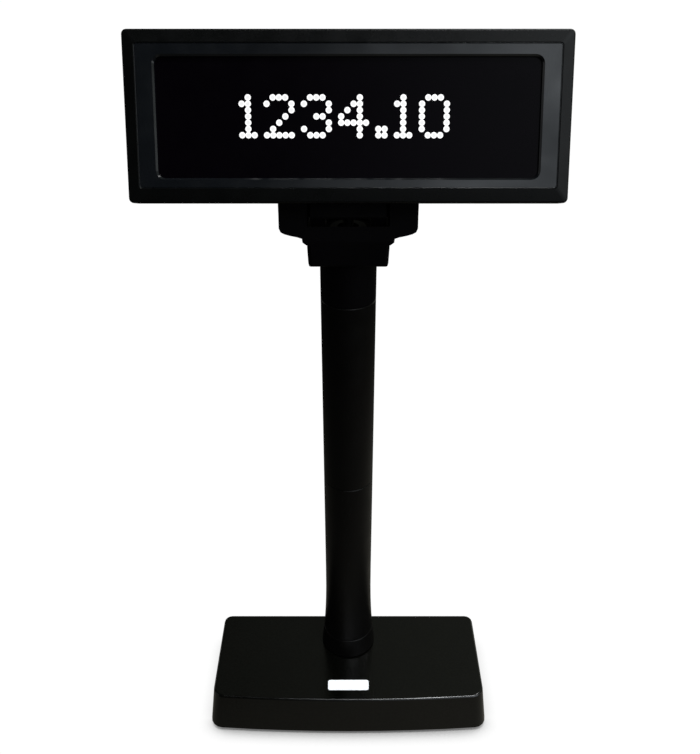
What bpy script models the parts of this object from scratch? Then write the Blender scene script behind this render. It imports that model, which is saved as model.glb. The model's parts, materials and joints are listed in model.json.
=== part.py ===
"""Customer pole display: a weighted base, a plug-together pole, a swivel yoke and a tilting display head.

Metres, +Z up.  The display faces -Y and +X is the viewer's right.  The origin is on the floor, in the
middle of the outline's box, so the pole stands a little behind it.
"""

import math

import bmesh
import bpy

# ---------------------------------------------------------------- driving dimensions

GAP = 0.0003  # clearance between pieces that touch
WALL = 0.0025  # moulded walls of the base and the pole
LEFT, RIGHT = -1, 1

# Base: heights from the floor, depths from the pole's axis
BASE_BOTTOM = 0.002
BASE_TOP = 0.027
BASE_HALF_WIDTH = 0.0986
BASE_FRONT = 0.0627
BASE_BACK = 0.0230
BASE_TOP_HALF_WIDTH = 0.096
BASE_TOP_FRONT = 0.0556
BASE_TOP_BACK = 0.0213
BASE_BOW = 0.0036  # how far the middle of the front bows out past its corners
BASE_FRONT_CORNER = 0.008
BASE_REAR_CORNER = 0.0055
BASE_EDGE = 0.0012  # rounding between the top face and the walls
PLATE_BOTTOM = 0.003
PLATE_TOP = 0.005
BOARD_BOTTOM = 0.0064
BOARD_TOP = 0.0080

# Pole
POLE_RADIUS = 0.016
POLE_BORE = 0.0135
SPIGOT_RADIUS = POLE_BORE - GAP
SPIGOT_BORE = 0.0110
SPIGOT_LENGTH = 0.018
FLARE_GROWTH = 0.0037  # extra radius where the pole meets the base
FLARE_HEIGHT = 0.075
FLARE_POWER = 2.7
FOOT_SEAM = 0.043
MIDDLE_SEAM = 0.183
NECK_SEAM = 0.314

# Swivel
COLLAR_BOTTOM = 0.3415
COLLAR_HALF_WIDTH = 0.0216
COLLAR_HALF_DEPTH = 0.0200
COLLAR_BORE = 0.0164
SHOULDER = 0.3481  # top of the pole's full-width neck, inside the collar
WEB_BOTTOM = 0.3500
WEB_TOP = 0.3535
HUB_RADIUS = 0.010
HUB_BORE = 0.006
HUB_TOP = 0.3573
HUB_HOLE = HUB_RADIUS + GAP
SADDLE_TOP = 0.3577
LIP_TOP = 0.3670  # the low wall that closes the front of the fork
LIP_BACK = -0.0178
STOP_INNER = 0.0126  # radii of the ribs that end the turn
STOP_OUTER = 0.0150
STOP_HALF_WIDTH = 0.0010

# Tilt hinge: lengths from the tilt axis
TILT_AXIS_Z = 0.372
REST_TILT = math.radians(21)
CHEEK_RADIUS = 0.0166
CHEEK_INNER = 0.0218
CHEEK_OUTER = 0.0367
NOTCH_RADIUS = 0.0176
NOTCH_HALF_WIDTH = 0.0384
BRACKET_HALF_WIDTH = 0.0202
BRACKET_RADIUS = NOTCH_RADIUS - GAP
EAR_INNER = 0.012
PIVOT_RADIUS = 0.003
PIVOT_HOLE = PIVOT_RADIUS + GAP

# Display head: its own frame has the tilt axis at zero and the face upright
HEAD_HALF_WIDTH = 0.110
HEAD_HEIGHT = 0.0825
HEAD_DEPTH = 0.042
HEAD_FACE = -0.0334
HEAD_BOTTOM = -0.0022
HEAD_TOP = HEAD_BOTTOM + HEAD_HEIGHT
HEAD_BACK = HEAD_FACE + HEAD_DEPTH
HEAD_CORNER = 0.0025
HEAD_EDGE = 0.0010
BEZEL_SLOPE = 0.0009  # how far the bezel falls back from its opening to its outer edge
HEAD_WALL = 0.0022
SPLIT_DEPTH = 0.012  # where the bezel ends and the rear housing starts
REAR_DRAFT = 0.0007
REAR_EDGE = 0.0025
PANEL_HALF_WIDTH = 0.1040
PANEL_LOW = 0.0073
PANEL_HIGH = 0.0759
WINDOW_HALF_WIDTH = 0.0946
WINDOW_LOW = 0.0122
WINDOW_HIGH = 0.0698
WINDOW_CORNER = 0.0035
LEDGE_HALF_WIDTH = 0.1005
LEDGE_LOW = 0.01015
LEDGE_HIGH = 0.0718
HOUSING_SCREW_X = 0.1035
HOUSING_SCREW_LOW = 0.0062
HOUSING_SCREW_HIGH = 0.0758

# Wiring
HARNESS_RADIUS = 0.003
SWIVEL_SPLIT = 0.3450
SIDES = 36  # facets round a pole-sized circle
SMALL_SIDES = 24

# The pole's axis, placed so that the whole outline is centred front to back
HEAD_REACH = (
    (HEAD_BACK - REAR_EDGE) * math.cos(REST_TILT)
    + (HEAD_TOP - REAR_DRAFT - REAR_EDGE) * math.sin(REST_TILT)
    + REAR_EDGE
)
POLE_Y = (BASE_FRONT - HEAD_REACH) / 2

# ---------------------------------------------------------------- materials

FINISHES = {
    "satin_black": ((0.012, 0.012, 0.012), 0.45, 0.0),
    "gloss_black": ((0.016, 0.018, 0.021), 0.12, 0.0),
    "window_black": ((0.003, 0.002, 0.003), 0.20, 0.0),
    "rubber": ((0.020, 0.020, 0.020), 0.85, 0.0),
    "steel": ((0.55, 0.55, 0.56), 0.35, 1.0),
    "cast_iron": ((0.10, 0.10, 0.10), 0.70, 0.8),
    "brass": ((0.72, 0.55, 0.24), 0.35, 1.0),
    "circuit_green": ((0.02, 0.16, 0.06), 0.45, 0.0),
    "display_glass": ((0.05, 0.06, 0.06), 0.08, 0.0),
    "nylon_white": ((0.80, 0.79, 0.74), 0.50, 0.0),
    "ribbon_grey": ((0.30, 0.30, 0.31), 0.60, 0.0),
    "cable_black": ((0.015, 0.015, 0.016), 0.60, 0.0),
    "socket_black": ((0.02, 0.02, 0.02), 0.50, 0.0),
    "badge_silver": ((0.75, 0.76, 0.77), 0.30, 0.6),
}


def finish(name):
    """The named material, made on first use."""
    found = bpy.data.materials.get(name)
    if found:
        return found
    colour, roughness, metallic = FINISHES[name]
    made = bpy.data.materials.new(name)
    made.use_nodes = True
    shader = made.node_tree.nodes["Principled BSDF"]
    shader.inputs["Base Color"].default_value = (*colour, 1)
    shader.inputs["Roughness"].default_value = roughness
    shader.inputs["Metallic"].default_value = metallic
    return made


# ---------------------------------------------------------------- outlines


def circle(radius, sides=SIDES, centre=(0, 0)):
    """A round outline."""
    turn = 2 * math.pi / sides
    return [
        (centre[0] + radius * math.cos(i * turn), centre[1] + radius * math.sin(i * turn))
        for i in range(sides)
    ]


def arc(centre, radius, start, end, steps):
    """Points along an arc, angles in degrees."""
    points = []
    for i in range(steps + 1):
        angle = math.radians(start + (end - start) * i / steps)
        points.append((centre[0] + radius * math.cos(angle), centre[1] + radius * math.sin(angle)))
    return points


def rounded(left, right, low, high, corner, steps=4):
    """A rectangle with round corners, from the top right corner round to the bottom right one."""
    points = []
    corners = (
        (right - corner, high - corner, 0),
        (left + corner, high - corner, 90),
        (left + corner, low + corner, 180),
        (right - corner, low + corner, 270),
    )
    for x, y, start in corners:
        points += arc((x, y), corner, start, start + 90, steps)
    return points


def cross(reach):
    """A cross-head recess, with 16 points that match a 16-sided circle."""
    arm = reach * math.tan(math.pi / 8)
    quarter = ((reach, 0), (reach, arm), (arm, arm), (arm, reach))
    points = []
    for turn in range(4):
        for x, y in quarter:
            for _ in range(turn):
                x, y = -y, x
            points.append((x, y))
    return points


def at_x(outline, x):
    """An outline in Y and Z, placed at X."""
    return [(x, y, z) for y, z in outline]


def at_y(outline, y):
    """An outline in X and Z, placed at Y."""
    return [(x, y, z) for x, z in outline]


def at_z(outline, z):
    """An outline in X and Y, placed at Z."""
    return [(x, y, z) for x, y in outline]


def box(left, right, front, back, low, high):
    """Two loops that make a plain block."""
    outline = ((left, front), (right, front), (right, back), (left, back))
    return [at_z(outline, low), at_z(outline, high)]


def turned(profile, sides=SIDES):
    """Loops round the Z axis for a list of (radius, height)."""
    return [at_z(circle(radius, sides), height) for radius, height in profile]


def across(profile, sides=SMALL_SIDES):
    """Loops round the X axis for a list of (radius, x)."""
    return [at_x(circle(radius, sides), x) for radius, x in profile]


# ---------------------------------------------------------------- objects


def axis(name, location, turn=0.0, parent=None):
    """An empty on a joint's axis."""
    empty = bpy.data.objects.new(name, None)
    empty.location = location
    empty.rotation_euler = (turn, 0, 0)
    empty.parent = parent
    bpy.context.scene.collection.objects.link(empty)
    return empty


def lofted(name, loops, ring=False):
    """A mesh skinned over loops of equal length: capped at both ends, or closed on itself as a ring."""
    bm = bmesh.new()
    rows = [[bm.verts.new(point) for point in loop] for loop in loops]
    pairs = list(zip(rows, rows[1:]))
    if ring:
        pairs.append((rows[-1], rows[0]))
    else:
        bm.faces.new(rows[0])
        bm.faces.new(rows[-1])
    count = len(rows[0])
    for near, far in pairs:
        for i in range(count):
            j = (i + 1) % count
            bm.faces.new((near[i], near[j], far[j], far[i]))
    bmesh.ops.recalc_face_normals(bm, faces=bm.faces)
    mesh = bpy.data.meshes.new(name)
    bm.to_mesh(mesh)
    bm.free()
    return mesh


def piece(name, loops, look, parent, ring=False, smooth=None):
    """One named part of the display."""
    mesh = lofted(name, loops, ring)
    mesh.materials.append(finish(look))
    if smooth:
        mesh.shade_smooth()
        mesh.set_sharp_from_angle(angle=math.radians(smooth))
    made = bpy.data.objects.new(name, mesh)
    made.parent = parent
    bpy.context.scene.collection.objects.link(made)
    return made


def tool(name, loops, parent, ring=False):
    """A shape that only cuts or adds to others."""
    made = bpy.data.objects.new(name, lofted(name, loops, ring))
    made.parent = parent
    made.hide_render = True
    made.display_type = "WIRE"
    bpy.context.scene.collection.objects.link(made)
    return made


def combine(target, shape, operation):
    """Cuts a shape from a part, adds it or keeps what both share."""
    step = target.modifiers.new(shape.name, "BOOLEAN")
    step.operation = operation
    step.solver = "EXACT"
    step.object = shape


def cut(target, name, loops, ring=False):
    """Cuts a lofted shape out of a part."""
    combine(target, tool(name, loops, target.parent, ring), "DIFFERENCE")


def add(target, name, loops, ring=False):
    """Joins a lofted shape to a part."""
    combine(target, tool(name, loops, target.parent, ring), "UNION")


def screw(name, parent, place, turn, head, shank, length):
    """A pan-head screw.  Its head's underside is at place and its shank runs along its own -Z."""
    height = head * 0.55
    sides = 16
    loops = [
        at_z(cross(head * 0.35), height * 0.45),
        at_z(cross(head * 0.55), height),
        at_z(circle(head * 0.86, sides), height),
        at_z(circle(head, sides), 0),
        at_z(circle(shank, sides), 0),
        at_z(circle(shank, sides), -length),
    ]
    made = piece(name, loops, "steel", parent)
    made.location = place
    made.rotation_euler = turn
    return made


# ---------------------------------------------------------------- base


def base_outline(half_width, front, back, z, inset=0.0):
    """The base's plan: a rounded rectangle whose front bows out in the middle."""
    right = half_width - inset
    rear = back - inset
    shoulder = BASE_BOW - front + inset  # where the front would lie without its bow
    small = BASE_REAR_CORNER - inset
    large = BASE_FRONT_CORNER - inset
    outline = arc((right - small, rear - small), small, 0, 90, 4)
    outline += arc((small - right, rear - small), small, 90, 180, 4)
    straight = right - large
    flat = arc((-straight, shoulder + large), large, 180, 270, 4)
    flat += [(straight * i / 4, shoulder) for i in range(-3, 4)]
    flat += arc((straight, shoulder + large), large, 270, 360, 4)
    for x, y in flat:
        share = 1 - (x / half_width) ** 2
        forward = (shoulder + large - y) / large
        outline.append((x, y - BASE_BOW * share * forward))
    return at_z(outline, z)


def base_level(z, inset=0.0):
    """The outer outline of the sloping walls at a height."""
    share = (z - BASE_BOTTOM) / (BASE_TOP - BASE_BOTTOM)
    half_width = BASE_HALF_WIDTH + (BASE_TOP_HALF_WIDTH - BASE_HALF_WIDTH) * share
    front = BASE_FRONT + (BASE_TOP_FRONT - BASE_FRONT) * share
    back = BASE_BACK + (BASE_TOP_BACK - BASE_BACK) * share
    return base_outline(half_width, front, back, z, inset)


BASE_SCREWS = {
    "front_left": (-0.082, -0.046),
    "front_right": (0.082, -0.046),
    "rear_left": (-0.082, 0.008),
    "rear_right": (0.082, 0.008),
}
FEET = {
    "front_left": (-0.065, -0.050),
    "front_right": (0.065, -0.050),
    "rear_left": (-0.068, 0.0115),
    "rear_right": (0.068, 0.0115),
}
POLE_SCREW_RING = 0.0166
POLE_SCREW_ANGLES = (30, 150, 270)
BOARD_SCREW_X = 0.041
BOARD_SCREW_Y = 0.011
SOCKET_X = -0.027
JACK_X = 0.027
SOCKET_BACK = BASE_TOP_BACK - 0.0004
BADGE_Y = -0.0431
BADGE_HALF_WIDTH = 0.0145
BADGE_HALF_DEPTH = 0.0042
BADGE_SUNK = 0.0006


def ring_place(radius, degrees):
    """A point on a circle round the pole's axis."""
    angle = math.radians(degrees)
    return radius * math.cos(angle), radius * math.sin(angle)


def make_base(root):
    """The weighted base with its sockets and feet."""
    ceiling = BASE_TOP - WALL
    slope = [
        base_level(BASE_TOP - BASE_EDGE * (1 - math.sin(a)), BASE_EDGE * (1 - math.cos(a)))
        for a in (math.radians(30), math.radians(60), math.radians(90))
    ]
    cover = piece(
        "base_cover",
        [base_level(ceiling, WALL), base_level(BASE_BOTTOM, WALL), base_level(BASE_BOTTOM),
         base_level(BASE_TOP - BASE_EDGE), *slope],
        "satin_black", root, smooth=35,
    )
    for corner, (x, y) in BASE_SCREWS.items():
        post = [at_z(circle(0.004, 16, (x, y)), z) for z in (PLATE_TOP + GAP, BASE_TOP - 0.0012)]
        add(cover, f"post_{corner}", post)
        hole = [at_z(circle(0.0018, 16, (x, y)), z) for z in (0, 0.0135)]
        cut(cover, f"post_hole_{corner}", hole)
    through = (ceiling - 0.002, BASE_TOP + 0.002)
    cut(cover, "cable_way", [at_z(circle(SPIGOT_BORE, SMALL_SIDES), z) for z in through])
    for degrees in POLE_SCREW_ANGLES:
        centre = ring_place(POLE_SCREW_RING, degrees)
        cut(cover, f"cover_hole_{degrees}", [at_z(circle(0.0018, 12, centre), z) for z in through])
    socket_low, socket_high = BOARD_TOP + 0.0001, BOARD_TOP + 0.0136
    cut(cover, "socket_window",
        box(SOCKET_X - 0.0083, SOCKET_X + 0.0083, 0.012, 0.03, socket_low, socket_high))
    cut(cover, "jack_window",
        box(JACK_X - 0.0048, JACK_X + 0.0048, 0.012, 0.03, socket_low, BOARD_TOP + 0.0116))
    badge_plan = rounded(
        -BADGE_HALF_WIDTH - GAP, BADGE_HALF_WIDTH + GAP,
        BADGE_Y - BADGE_HALF_DEPTH - GAP, BADGE_Y + BADGE_HALF_DEPTH + GAP, 0.0018, 4,
    )
    cut(cover, "badge_recess", [at_z(badge_plan, z) for z in (BASE_TOP - BADGE_SUNK, BASE_TOP + 0.002)])
    badge_face = rounded(
        -BADGE_HALF_WIDTH, BADGE_HALF_WIDTH,
        BADGE_Y - BADGE_HALF_DEPTH, BADGE_Y + BADGE_HALF_DEPTH, 0.0015, 4,
    )
    badge_bottom = BASE_TOP - BADGE_SUNK + GAP
    piece("badge", [at_z(badge_face, badge_bottom), at_z(badge_face, badge_bottom + 0.0005)],
          "badge_silver", root)

    plate = piece(
        "base_plate", [base_level(PLATE_BOTTOM, WALL + GAP), base_level(PLATE_TOP, WALL + 2 * GAP)],
        "satin_black", root,
    )
    for corner, (x, y) in BASE_SCREWS.items():
        cut(plate, f"plate_hole_{corner}", [at_z(circle(0.0018, 16, (x, y)), z) for z in (0, 0.02)])
        screw(f"base_screw_{corner}", root, (x, y, PLATE_BOTTOM - GAP), (math.pi, 0, 0),
              0.0028, 0.0014, 0.0095)
    for side, x in (("left", -BOARD_SCREW_X), ("right", BOARD_SCREW_X)):
        place = (x, BOARD_SCREW_Y)
        add(plate, f"board_boss_{side}",
            [at_z(circle(0.0028, 16, place), z) for z in (PLATE_TOP - 0.001, BOARD_BOTTOM - GAP)])
        cut(plate, f"boss_hole_{side}", [at_z(circle(0.0015, 12, place), z) for z in (0.0045, 0.02)])
    for place, (x, y) in FEET.items():
        foot = [at_z(circle(r, SMALL_SIDES, (x, y)), z)
                for r, z in ((0.0062, 0), (0.0068, 0.0008), (0.0068, PLATE_BOTTOM - GAP))]
        piece(f"foot_{place}", foot, "rubber", root, smooth=35)

    weight = rounded(-0.072, 0.072, -0.053, -0.004, 0.003, 3)
    piece("ballast_plate", [at_z(weight, PLATE_TOP + GAP), at_z(weight, PLATE_TOP + GAP + 0.008)],
          "cast_iron", root)


def make_sockets(root):
    """The interface board in the base, with the data and power sockets that a lead plugs into."""
    board = piece("interface_board", box(-0.046, 0.046, 0.0025, 0.0185, BOARD_BOTTOM, BOARD_TOP),
                  "circuit_green", root)
    for side, x in (("left", -BOARD_SCREW_X), ("right", BOARD_SCREW_X)):
        place = (x, BOARD_SCREW_Y)
        cut(board, f"board_hole_{side}", [at_z(circle(0.0016, 16, place), z) for z in (0, 0.02)])
        screw(f"board_screw_{side}", root, (*place, BOARD_TOP + GAP), (0, 0, 0), 0.0024, 0.0011, 0.0030)
    low = BOARD_TOP + GAP
    body = box(SOCKET_X - 0.008, SOCKET_X + 0.008, 0.0035, SOCKET_BACK, low, low + 0.013)
    socket = piece("data_socket", body, "socket_black", root)
    cut(socket, "socket_mouth",
        box(SOCKET_X - 0.0059, SOCKET_X + 0.0059, 0.0065, 0.03, low + 0.0022, low + 0.0105))
    body = box(JACK_X - 0.0045, JACK_X + 0.0045, 0.0055, SOCKET_BACK, low, low + 0.011)
    jack = piece("power_jack", body, "socket_black", root)
    centre = (JACK_X, low + 0.0057)
    ring = [at_y(circle(r, 20, centre), y) for r, y in
            ((0.0034, 0.0085), (0.0034, 0.03), (0.0010, 0.03), (0.0010, 0.0085))]
    cut(jack, "jack_mouth", ring, ring=True)
    shorten = [at_y(circle(0.0034, 20, centre), y) for y in (SOCKET_BACK - 0.0015, 0.03)]
    cut(jack, "jack_pin_end", shorten)
    piece("harness_plug", box(-0.0048, 0.0048, 0.0045, 0.0115, low, low + 0.0048), "nylon_white", root)


# ---------------------------------------------------------------- pole


def flare(height):
    """The pole's outer radius at a height, growing smoothly towards the base."""
    share = max(0.0, 1 - (height - BASE_TOP) / FLARE_HEIGHT)
    return POLE_RADIUS + FLARE_GROWTH * share ** FLARE_POWER


def make_pole(root):
    """Four sections that plug into each other, screwed to the base from below."""
    bottom = BASE_TOP + GAP
    lip = 0.0003
    levels = [bottom + 0.0010, 0.031, 0.035, 0.039, FOOT_SEAM - lip]
    floor = bottom + 0.0022
    foot = piece(
        "pole_foot",
        turned([(flare(bottom) - 0.0008, bottom)] + [(flare(z), z) for z in levels]
               + [(flare(FOOT_SEAM) - lip, FOOT_SEAM), (POLE_BORE, FOOT_SEAM), (POLE_BORE, floor),
                  (SPIGOT_BORE, floor), (SPIGOT_BORE, bottom)]),
        "satin_black", root, ring=True, smooth=35,
    )
    for degrees in POLE_SCREW_ANGLES:
        centre = ring_place(POLE_SCREW_RING, degrees)
        cut(foot, f"foot_hole_{degrees}", [at_z(circle(0.0016, 12, centre), z) for z in (0.02, 0.0365)])

    seam = FOOT_SEAM + GAP
    levels = [seam + lip, 0.048, 0.054, 0.061, 0.070, 0.082, BASE_TOP + FLARE_HEIGHT, MIDDLE_SEAM - lip]
    piece(
        "lower_tube",
        turned([(SPIGOT_RADIUS, 0.0305), (SPIGOT_RADIUS, seam), (flare(seam) - lip, seam)]
               + [(flare(z), z) for z in levels]
               + [(POLE_RADIUS - lip, MIDDLE_SEAM), (POLE_BORE, MIDDLE_SEAM), (POLE_BORE, 0.060),
                  (SPIGOT_BORE, 0.052), (SPIGOT_BORE, 0.0305)]),
        "satin_black", root, ring=True, smooth=35,
    )

    seam = MIDDLE_SEAM + GAP
    spigot = MIDDLE_SEAM - SPIGOT_LENGTH
    piece(
        "upper_tube",
        turned([(SPIGOT_RADIUS, spigot), (SPIGOT_RADIUS, seam), (POLE_RADIUS - lip, seam),
                (POLE_RADIUS, seam + lip), (POLE_RADIUS, NECK_SEAM - lip), (POLE_RADIUS - lip, NECK_SEAM),
                (POLE_BORE, NECK_SEAM), (POLE_BORE, seam + 0.012), (SPIGOT_BORE, seam + 0.006),
                (SPIGOT_BORE, spigot)]),
        "satin_black", root, ring=True, smooth=35,
    )

    seam = NECK_SEAM + GAP
    spigot = NECK_SEAM - SPIGOT_LENGTH
    neck = piece(
        "pole_neck",
        turned([(SPIGOT_RADIUS, spigot), (SPIGOT_RADIUS, seam), (POLE_RADIUS - lip, seam),
                (POLE_RADIUS, seam + lip), (POLE_RADIUS, SHOULDER - lip), (POLE_RADIUS - lip, SHOULDER),
                (HUB_RADIUS, SHOULDER), (HUB_RADIUS, HUB_TOP), (HUB_BORE, HUB_TOP),
                (HUB_BORE, 0.3365), (SPIGOT_BORE, 0.3300), (SPIGOT_BORE, spigot)]),
        "satin_black", root, ring=True, smooth=35,
    )
    stop = box(-STOP_HALF_WIDTH, STOP_HALF_WIDTH, STOP_INNER, STOP_OUTER,
               SHOULDER - 0.002, WEB_BOTTOM - GAP)
    add(neck, "swivel_stop", stop)

    plate_top = BASE_TOP - WALL - GAP
    plan = rounded(-0.0235, 0.0235, -0.0215, 0.0172, 0.004)
    loops = [at_z(plan, plate_top - 0.002), at_z(plan, plate_top)]
    plate = piece("pole_mount_plate", loops, "steel", root)
    cut(plate, "mount_way", [at_z(circle(SPIGOT_BORE, SMALL_SIDES), z) for z in (0.02, 0.03)])
    for number, degrees in enumerate(POLE_SCREW_ANGLES, 1):
        centre = ring_place(POLE_SCREW_RING, degrees)
        cut(plate, f"mount_hole_{degrees}", [at_z(circle(0.0018, 14, centre), z) for z in (0.02, 0.03)])
        screw(f"pole_screw_{number}", root, (*centre, plate_top - 0.002 - GAP), (math.pi, 0, 0),
              0.0027, 0.0013, 0.0135)


# ---------------------------------------------------------------- swivel yoke


def make_yoke(swivel):
    """The fork that turns on the pole and carries the head between its cheeks."""
    front_view = [
        (COLLAR_HALF_WIDTH - 0.0016, COLLAR_BOTTOM), (COLLAR_HALF_WIDTH - 0.0004, COLLAR_BOTTOM + 0.0004),
        (COLLAR_HALF_WIDTH, COLLAR_BOTTOM + 0.0016), (COLLAR_HALF_WIDTH + 0.0006, 0.3540),
        (0.0243, 0.3556), (0.0246, 0.3576), (0.0268, 0.3583), (0.0308, 0.3591), (0.0340, 0.3600),
        (0.0358, 0.3610), (CHEEK_OUTER, 0.3630),
    ]
    top = TILT_AXIS_Z + CHEEK_RADIUS + 0.002
    half = front_view + [(CHEEK_OUTER, top)]
    outline = half + [(-x, z) for x, z in reversed(half)]
    yoke = piece("yoke", [at_y(outline, -0.03), at_y(outline, 0.03)], "satin_black", swivel, smooth=35)
    depth = COLLAR_HALF_DEPTH
    edge = 0.0012
    side_view = [(-depth + edge, COLLAR_BOTTOM), (-depth, COLLAR_BOTTOM + edge), (-depth + 0.0006, 0.3560)]
    side_view += [(y, TILT_AXIS_Z + z) for y, z in arc((0, 0), CHEEK_RADIUS, 186, -6, 22)]
    side_view += [(depth - 0.0006, 0.3560), (depth, COLLAR_BOTTOM + edge), (depth - edge, COLLAR_BOTTOM)]
    keep = tool("yoke_side_view", [at_x(side_view, -0.05), at_x(side_view, 0.05)], swivel)
    combine(yoke, keep, "INTERSECT")
    half_width = COLLAR_HALF_WIDTH + 0.0007
    plan = rounded(-half_width, half_width, -depth - 0.001, depth + 0.001, 0.006, 5)
    wide = rounded(-0.05, 0.05, -0.03, 0.03, 0.006, 5)
    below, above = COLLAR_BOTTOM - 0.002, 0.3541
    trim = [at_z(wide, below), at_z(wide, above), at_z(plan, above), at_z(plan, below)]
    cut(yoke, "collar_corners", trim, ring=True)
    cut(yoke, "fork", box(-CHEEK_INNER, CHEEK_INNER, LIP_BACK, 0.03, SADDLE_TOP, top + 0.01))
    cut(yoke, "fork_front", box(-CHEEK_INNER, CHEEK_INNER, -0.03, LIP_BACK + 0.001, LIP_TOP, top + 0.01))
    cut(yoke, "collar_bore", [at_z(circle(COLLAR_BORE), z) for z in (below, WEB_BOTTOM)])
    hub = circle(HUB_HOLE, SMALL_SIDES)
    cut(yoke, "hub_hole", [at_z(hub, z) for z in (WEB_BOTTOM - 0.001, WEB_TOP + 0.001)])
    pocket = circle(0.0150, SMALL_SIDES)
    cut(yoke, "hub_pocket", [at_z(pocket, z) for z in (WEB_TOP, SADDLE_TOP + 0.002)])
    stop = box(-STOP_HALF_WIDTH, STOP_HALF_WIDTH, -STOP_OUTER, -STOP_INNER,
               SHOULDER + 2 * GAP, WEB_BOTTOM + 0.001)
    add(yoke, "yoke_stop", stop)
    for side, sign in (("left", LEFT), ("right", RIGHT)):
        cut(yoke, f"cheek_hole_{side}", lifted(across(
            [(PIVOT_HOLE, sign * (CHEEK_INNER - 0.002)), (PIVOT_HOLE, sign * 0.0320)])))
        cut(yoke, f"cap_seat_{side}", lifted(across([(0.0066, sign * 0.0307), (0.0066, sign * 0.0400)])))
        bolt = [(0.0024, 0.0345), (0.0050, 0.0340), (0.0052, 0.0330), (0.0052, 0.0310),
                (PIVOT_RADIUS, 0.0310), (PIVOT_RADIUS, 0.0078)]
        piece(f"pivot_bolt_{side}", lifted(across([(r, sign * x) for r, x in bolt], 20)),
              "steel", swivel, smooth=35)
        cap = [(0.0058, CHEEK_OUTER + 0.0002), (0.0063, CHEEK_OUTER - 0.0004), (0.0063, 0.0348)]
        piece(f"pivot_cap_{side}", lifted(across([(r, sign * x) for r, x in cap], 20)),
              "satin_black", swivel, smooth=35)

    low, high = SHOULDER + GAP, WEB_BOTTOM - GAP
    washer = [(0.0122, low), (0.0122, high), (HUB_HOLE, high), (HUB_HOLE, low)]
    piece("swivel_washer", turned(washer, SMALL_SIDES), "nylon_white", swivel, ring=True, smooth=35)
    low = WEB_TOP + GAP
    spring = [(0.0140, low), (0.0140, low + 0.0006), (HUB_HOLE, low + 0.0010), (HUB_HOLE, low + 0.0004)]
    piece("swivel_spring_washer", turned(spring, SMALL_SIDES), "steel", swivel, ring=True, smooth=35)


def lifted(loops):
    """Loops about the tilt axis, raised to its height on the pole."""
    return [[(x, y, z + TILT_AXIS_Z) for x, y, z in loop] for loop in loops]


def make_retainer(root):
    """The ring on the pole's hub that keeps the yoke down."""
    low, high = WEB_TOP + 0.0016, HUB_TOP - 0.0004
    section = [(0.0136, low), (0.0136, low + 0.0012), (0.0128, high), (HUB_HOLE, high), (HUB_HOLE, low)]
    piece("swivel_retainer", turned(section, SMALL_SIDES), "steel", root, ring=True, smooth=35)


# ---------------------------------------------------------------- head: hinge


def make_hinge(head):
    """The bracket under the head, with its friction washers and nuts."""
    reach = 0.0137  # from the axis to the flats that stop the tilt on the yoke's saddle
    slant = math.sqrt((BRACKET_RADIUS ** 2 - reach ** 2))
    root2 = math.sqrt(0.5)
    stop_end = ((reach + slant) * root2, (slant - reach) * root2)
    front = -0.0120
    top_of_front = math.degrees(math.asin(-front / BRACKET_RADIUS))
    side_view = [(front, -0.0085), (front + 0.0012, -0.0105), (-0.0085, -reach), (0.0, -reach)]
    side_view += arc((0, 0), reach, -90 + 15, -45, 3)
    side_view += [stop_end]
    start = math.degrees(math.atan2(stop_end[1], stop_end[0]))
    side_view += arc((0, 0), BRACKET_RADIUS, start + 8, 90 + top_of_front, 14)
    bracket = piece(
        "hinge_bracket",
        [at_x(side_view, -BRACKET_HALF_WIDTH), at_x(side_view, BRACKET_HALF_WIDTH)],
        "satin_black", head, smooth=35,
    )
    cavity = [(front + 0.003, -0.020), (0.030, -0.020), (0.030, -0.004), (0.0125, 0.0075),
              (0.0060, 0.0125), (-0.0060, 0.0125), (front + 0.003, 0.0085)]
    cut(bracket, "bracket_cavity", [at_x(cavity, -EAR_INNER), at_x(cavity, EAR_INNER)])
    relief = [(-0.020, -0.0300), (-0.0001, -0.0300), (-0.0001, -0.0098), (-0.020, -0.0098)]
    cut(bracket, "bracket_lip", [at_x(relief, -EAR_INNER - 0.0001), at_x(relief, EAR_INNER + 0.0001)])
    cut(bracket, "ear_holes", across([(PIVOT_HOLE, -0.03), (PIVOT_HOLE, 0.03)]))
    cut(bracket, "bracket_wire_hole", [at_z(circle(0.0042, 16), z) for z in (0.010, 0.020)])
    for side, sign in (("left", LEFT), ("right", RIGHT)):
        place = (sign * 0.0162, 0)
        cut(bracket, f"bracket_hole_{side}", [at_z(circle(0.0016, 16, place), z) for z in (0.0075, 0.020)])
        washer = [(0.0090, 0.0205), (0.0090, 0.0215), (PIVOT_HOLE, 0.0215), (PIVOT_HOLE, 0.0205)]
        piece(f"friction_washer_{side}", across([(r, sign * x) for r, x in washer]), "steel", head,
              ring=True, smooth=35)
        flats = PIVOT_HOLE / math.cos(math.pi / 6)
        hexagon = [(0.0056, 0.0117), (0.0056, 0.0085), (flats, 0.0085), (flats, 0.0117)]
        piece(f"pivot_nut_{side}", across([(r, sign * x) for r, x in hexagon], 6), "steel", head, ring=True)
        screw(f"bracket_screw_{side}", head, (*place, NOTCH_RADIUS + 0.0022), (0, 0, 0),
              0.0024, 0.0012, 0.0115)


# ---------------------------------------------------------------- head: case


def face_outline(inset=0.0, corner=HEAD_CORNER):
    """The head's outline seen from the front."""
    return rounded(-HEAD_HALF_WIDTH + inset, HEAD_HALF_WIDTH - inset,
                   HEAD_BOTTOM + inset, HEAD_TOP - inset, max(corner - inset, 0.0006))


def opening(half_width, low, high, corner, inset=0.0):
    """An opening in the face, its heights measured up from the head's lower edge."""
    return rounded(-half_width + inset, half_width - inset,
                   HEAD_BOTTOM + low + inset, HEAD_BOTTOM + high - inset, corner)


def depth(behind):
    """The Y of a plane some way behind the face."""
    return HEAD_FACE + behind


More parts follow.
